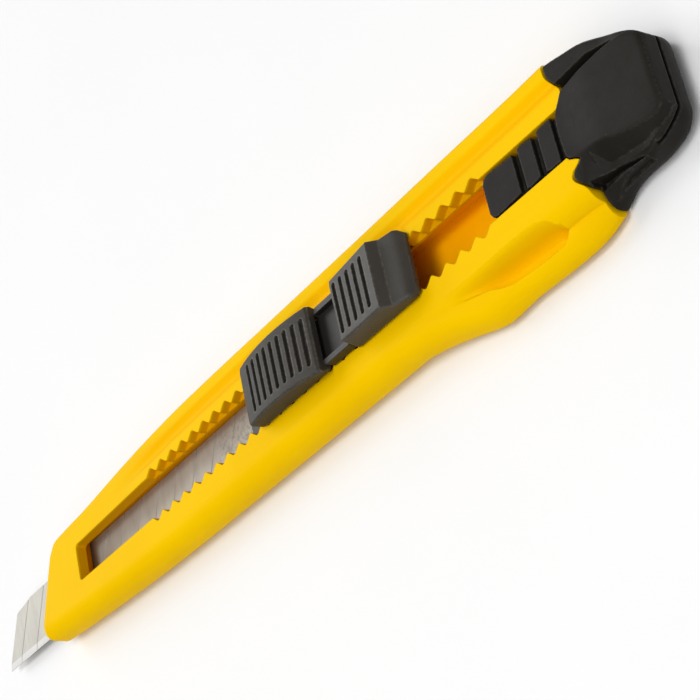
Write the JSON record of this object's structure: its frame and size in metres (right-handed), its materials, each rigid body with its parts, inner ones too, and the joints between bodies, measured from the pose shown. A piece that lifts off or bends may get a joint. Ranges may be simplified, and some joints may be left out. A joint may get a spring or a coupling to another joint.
{
  "type": "snap-off utility knife",
  "caption": "Slim snap-off utility knife: slotted plastic handle with toothed rails, sliding scored blade on a thumb slider, rear lock pad and pull-off end cap with a snapping slit.",
  "frame": {"origin": "on the flat back, below the slot's centre line, near the middle of the handle", "axes": "+X along the handle towards the blade's tip, +Y towards the cutting edge, +Z out of the slotted face"},
  "size_m": [0.166, 0.0225, 0.01],
  "materials": {
    "handle_body": "yellow moulded ABS, satin",
    "snap_blade": "ground carbon steel with scored segments",
    "blade_carrier": "black moulded plastic",
    "thumb_pad": "black moulded plastic, fine matt texture",
    "lock_pad": "black moulded plastic, fine matt texture",
    "detent_spring": "bright spring steel strip",
    "end_cap": "black moulded plastic, satin"
  },
  "bodies": {
    "handle": {"handle_body": "handle_body"},
    "slider": {"blade_carrier": "blade_carrier", "snap_blade": "snap_blade", "thumb_pad": "thumb_pad", "detent_spring": "detent_spring"},
    "lock": {"lock_pad": "lock_pad"},
    "cap": {"end_cap": "end_cap"}
  },
  "joints": [
    {"name": "carrier_slide", "type": "slide", "parent": "handle", "child": "slider", "axis": [1, 0, 0], "range_m": [-0.027, 0.048], "deforming": ["detent_spring"]},
    {"name": "lock_slide", "type": "slide", "parent": "slider", "child": "lock", "axis": [1, 0, 0], "range_m": [-0.001, 0]},
    {"name": "cap_pull", "type": "slide", "parent": "handle", "child": "cap", "axis": [-1, 0, 0], "range_m": [0, 0.016]}
  ]
}
